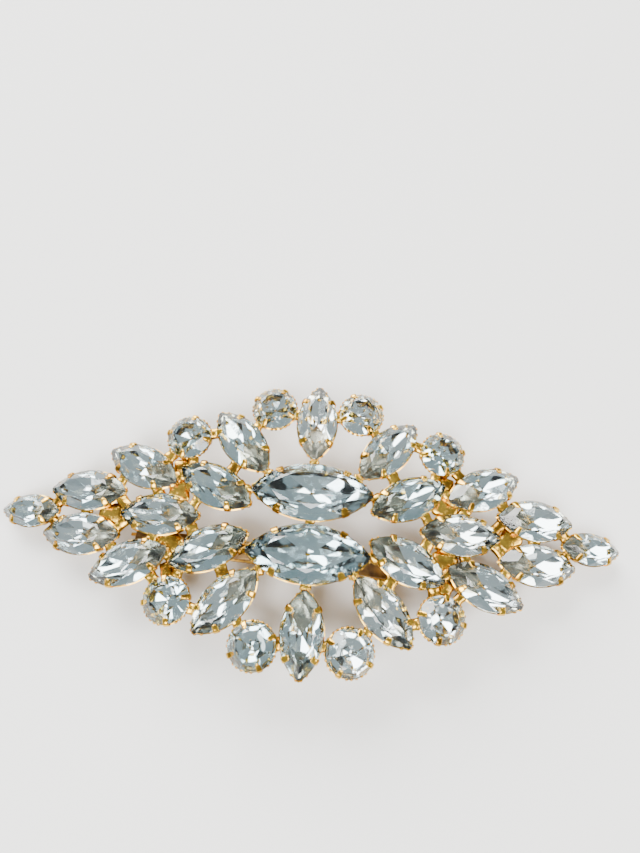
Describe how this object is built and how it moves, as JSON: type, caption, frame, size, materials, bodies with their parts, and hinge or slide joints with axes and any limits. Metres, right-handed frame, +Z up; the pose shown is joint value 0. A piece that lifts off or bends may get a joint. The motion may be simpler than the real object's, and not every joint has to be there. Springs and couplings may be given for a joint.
{
  "type": "hair clip",
  "caption": "Curved hair clip: clear pointed and round foiled stones in gold-tone prong cups soldered in a lozenge, over a slim snap barrette with hinged arm and squeeze catch.",
  "frame": {"origin": "middle of the footprint, on the surface that the clip lies on, stones up", "axes": "+X along the clip from tip to tip, +Y across it towards the upper crest, +Z up out of the stones"},
  "size_m": [0.0776, 0.0356, 0.0087],
  "materials": {
    "crystal": "cut clear glass with silver foil behind",
    "gold_cups": "polished gold plate",
    "clasp_metal": "gold plate with fine brushing",
    "spring_metal": "gold-washed spring strip"
  },
  "bodies": {
    "shell": {"clip_rail": "clasp_metal", "cup_big_lower": "gold_cups", "cup_big_upper": "gold_cups", "cup_fan_lower_left": "gold_cups", "cup_fan_lower_right": "gold_cups", "cup_fan_upper_left": "gold_cups", "cup_fan_upper_right": "gold_cups", "cup_middle_left": "gold_cups", "cup_middle_right": "gold_cups", "cup_tip_left": "gold_cups", "cup_tip_right": "gold_cups", "cup_wing_lower_left": "gold_cups", "cup_wing_lower_right": "gold_cups", "cup_wing_upper_left": "gold_cups", "cup_wing_upper_right": "gold_cups", "cups_crest_lower": "gold_cups", "cups_crest_upper": "gold_cups", "cups_pair_left": "gold_cups", "cups_pair_right": "gold_cups", "cups_petal_lower_left": "gold_cups", "cups_petal_lower_right": "gold_cups", "cups_petal_upper_left": "gold_cups", "cups_petal_upper_right": "gold_cups", "hinge_pin": "clasp_metal", "leaf_spring": "spring_metal", "stone_big_lower": "crystal", "stone_big_upper": "crystal", "stone_crest_lower": "crystal", "stone_crest_upper": "crystal", "stone_fan_lower_left": "crystal", "stone_fan_lower_right": "crystal", "stone_fan_upper_left": "crystal", "stone_fan_upper_right": "crystal", "stone_inner_round_lower_left": "crystal", "stone_inner_round_lower_right": "crystal", "stone_inner_round_upper_left": "crystal", "stone_inner_round_upper_right": "crystal", "stone_middle_left": "crystal", "stone_middle_right": "crystal", "stone_outer_round_lower_left": "crystal", "stone_outer_round_lower_right": "crystal", "stone_outer_round_upper_left": "crystal", "stone_outer_round_upper_right": "crystal", "stone_pair_lower_left": "crystal", "stone_pair_lower_right": "crystal", "stone_pair_upper_left": "crystal", "stone_pair_upper_right": "crystal", "stone_petal_lower_left": "crystal", "stone_petal_lower_right": "crystal", "stone_petal_upper_left": "crystal", "stone_petal_upper_right": "crystal", "stone_tip_left": "crystal", "stone_tip_right": "crystal", "stone_wing_lower_left": "crystal", "stone_wing_lower_right": "crystal", "stone_wing_upper_left": "crystal", "stone_wing_upper_right": "crystal"},
    "arm": {"snap_arm": "clasp_metal"},
    "ear_upper": {"catch_ear_upper": "spring_metal"},
    "ear_lower": {"catch_ear_lower": "spring_metal"}
  },
  "joints": [
    {"name": "arm_swing", "type": "hinge", "parent": "shell", "child": "arm", "pos_m": [0.01936, -0.00493, 0.00104], "axis": [-0.061, -0.9981, 0], "range_deg": [0, 100]},
    {"name": "ear_upper_squeeze", "type": "hinge", "parent": "shell", "child": "ear_upper", "pos_m": [-0.01932, -0.00194, 0.00182], "axis": [0.9981, -0.061, 0], "range_deg": [-10, 0], "stiffness_Nm_per_rad": 0.004},
    {"name": "ear_lower_squeeze", "type": "hinge", "parent": "shell", "child": "ear_lower", "pos_m": [-0.01939, -0.0032, 0.00182], "axis": [0.9981, -0.061, 0], "range_deg": [0, 10], "stiffness_Nm_per_rad": 0.004}
  ]
}
